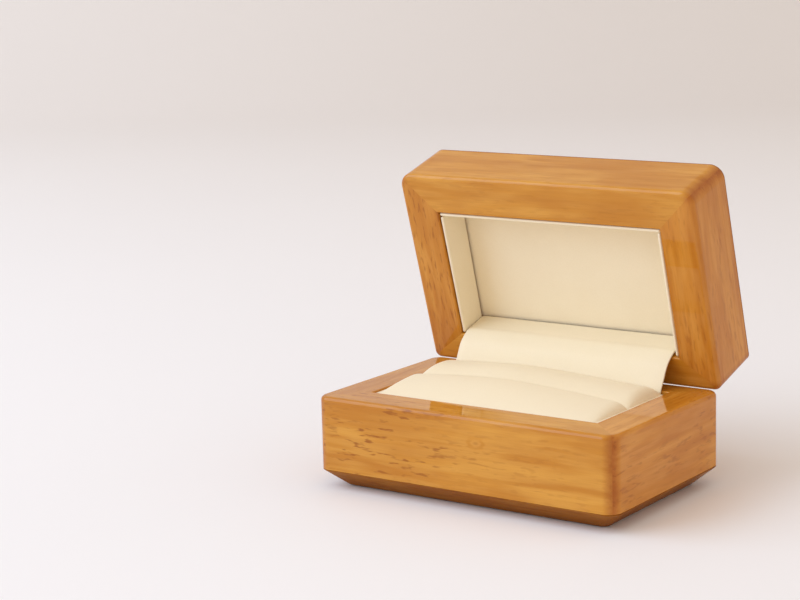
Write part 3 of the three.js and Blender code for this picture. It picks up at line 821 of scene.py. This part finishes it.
def dress_cad_nodes():
    """CAD nodes whose shape stays: the hinge's metal and the board under the cushion."""
    brass = metal_material("brass", (0.80, 0.58, 0.26), (0.52, 0.34, 0.13), (0.15, 2.5, 2.5))
    steel = metal_material("steel", (0.66, 0.66, 0.67), (0.38, 0.37, 0.36), (1.8, 0.2, 0.2))
    finishes = {"brass": brass, "steel": steel, "card": card_material()}
    slots = {s["node"]: s["material_slot"] for s in frame["record"]["subparts"]}
    for node, obj in frame["nodes"].items():
        if slots[node] in finishes:
            obj.data.materials.clear()
            obj.data.materials.append(finishes[slots[node]])


# ---------------------------------------------------------------- stage

def build_stage():
    """A pale seamless sweep: floor in front, curving up behind, with painted shade darkening it towards the back
    and the right.
    """
    profile = [(-1.6, 0.0), (0.9, 0.0)]
    profile += [(0.9 + y, 0.5 + z) for y, z in arc((0, 0), 0.5, 270, 360, 24)][1:]
    profile.append((1.4, 2.2))
    bm = bmesh.new()
    rows = [[bm.verts.new((x, y, z)) for x in (-3.0, 3.0)] for y, z in profile]
    grid_faces(bm, rows)
    sweep = new_object("sweep", mesh_from(bm, "sweep", math.pi))
    g = Graph("paper")
    tone = g.noise(g.place((0.004, 0.004, 0.004)), detail=2)
    paper = g.mix(tone, (0.88, 0.875, 0.89), (0.91, 0.905, 0.92))
    # Painted shade: the paper darkens towards the back, more so on the right, in place of the light falling off.
    painted_shade_right = g.remap(g.axis(g.coordinates, 0), -0.45, 0.25, 0.5, 1.0)
    painted_shade_back = g.remap(g.axis(g.coordinates, 1), -0.2, 1.5, 0.0, 1.0)
    g.into("Base Color", g.mix(g.math("MULTIPLY", painted_shade_right, painted_shade_back), paper, (0.76, 0.73, 0.71)))
    g.set(Roughness=0.7, Specular_IOR_Level=0.2)
    sweep.data.materials.append(g.material)
    sweep.location.z = cad_low.z
    turn = Matrix.Rotation(CAMERA_YAW, 4, "Z")
    sweep.matrix_world = turn @ sweep.matrix_world


def area_light(name, place, target, size, power, color):
    light = bpy.data.lights.new(name, "AREA")
    light.shape = "RECTANGLE"
    light.size, light.size_y = size
    light.energy = power
    light.color = color
    obj = bpy.data.objects.new(name, light)
    SCENE.collection.objects.link(obj)
    obj.location = place
    obj.rotation_mode = "QUATERNION"
    obj.rotation_quaternion = (Vector(target) - Vector(place)).to_track_quat("-Z", "Y")


ROOM_COLOR = (1.0, 0.875, 0.76, 1.0)
ROOM_STRENGTH = 0.86
WINDOW_PLACE = (-0.78, -0.66, 0.76)
WINDOW_AIM = (0, 0, 0.02)
WINDOW_SIZE = (1.3, 1.0)
WINDOW_POWER = 8.4
WINDOW_COLOR = (0.80, 1.03, 1.34)


def build_lights():
    """Warm light from all round, and one large cool window to the left of the box."""
    world = bpy.data.worlds.new("studio")
    SCENE.world = world
    world.use_nodes = True
    background = world.node_tree.nodes["Background"]
    background.inputs["Color"].default_value = ROOM_COLOR
    background.inputs["Strength"].default_value = ROOM_STRENGTH
    area_light("window", WINDOW_PLACE, WINDOW_AIM, WINDOW_SIZE, WINDOW_POWER, WINDOW_COLOR)


# The camera stands in front, to the right of the box and a little above it, with a slight roll.
CAMERA_PLACE = Vector((0.273043, -0.433146, 0.144581))
CAMERA_YAW = math.radians(35.408)
CAMERA_PITCH = math.radians(10.729)
CAMERA_ROLL = math.radians(-1.547)
CAMERA_LENS = 95.27


def build_camera():
    camera = bpy.data.cameras.new("camera")
    camera.sensor_width = 36
    camera.lens = CAMERA_LENS
    obj = bpy.data.objects.new("camera", camera)
    SCENE.collection.objects.link(obj)
    forward = Vector((
        -math.sin(CAMERA_YAW) * math.cos(CAMERA_PITCH),
        math.cos(CAMERA_YAW) * math.cos(CAMERA_PITCH),
        -math.sin(CAMERA_PITCH)))
    level = Vector((math.cos(CAMERA_YAW), math.sin(CAMERA_YAW), 0))
    upright = level.cross(forward)
    right = level * math.cos(CAMERA_ROLL) + upright * math.sin(CAMERA_ROLL)
    up = upright * math.cos(CAMERA_ROLL) - level * math.sin(CAMERA_ROLL)
    turn = Matrix((right, up, -forward)).transposed().to_4x4()
    obj.matrix_world = Matrix.Translation(CAMERA_PLACE) @ turn
    camera.clip_start = 0.01
    camera.clip_end = 20
    SCENE.camera = obj


# ---------------------------------------------------------------- build

SCENE.view_settings.view_transform = "Standard"
build_camera()
build_stage()
build_lights()
build_shell("base", BASE_WOOD, BASE_SHELL, BASE_HEIGHT, PANEL_HIGH.z - PANEL_LOW.z, CORNER_RADIUS, 1)
build_shell("lid", LID_WOOD, LID_SHELL, LID_HEIGHT, LID_PANEL_HIGH.z - LID_PANEL_LOW.z, LID_BACK_CORNER, -1)
build_cushion()
build_lining()
build_ceiling()
build_flap()
build_felt()
dress_cad_nodes()
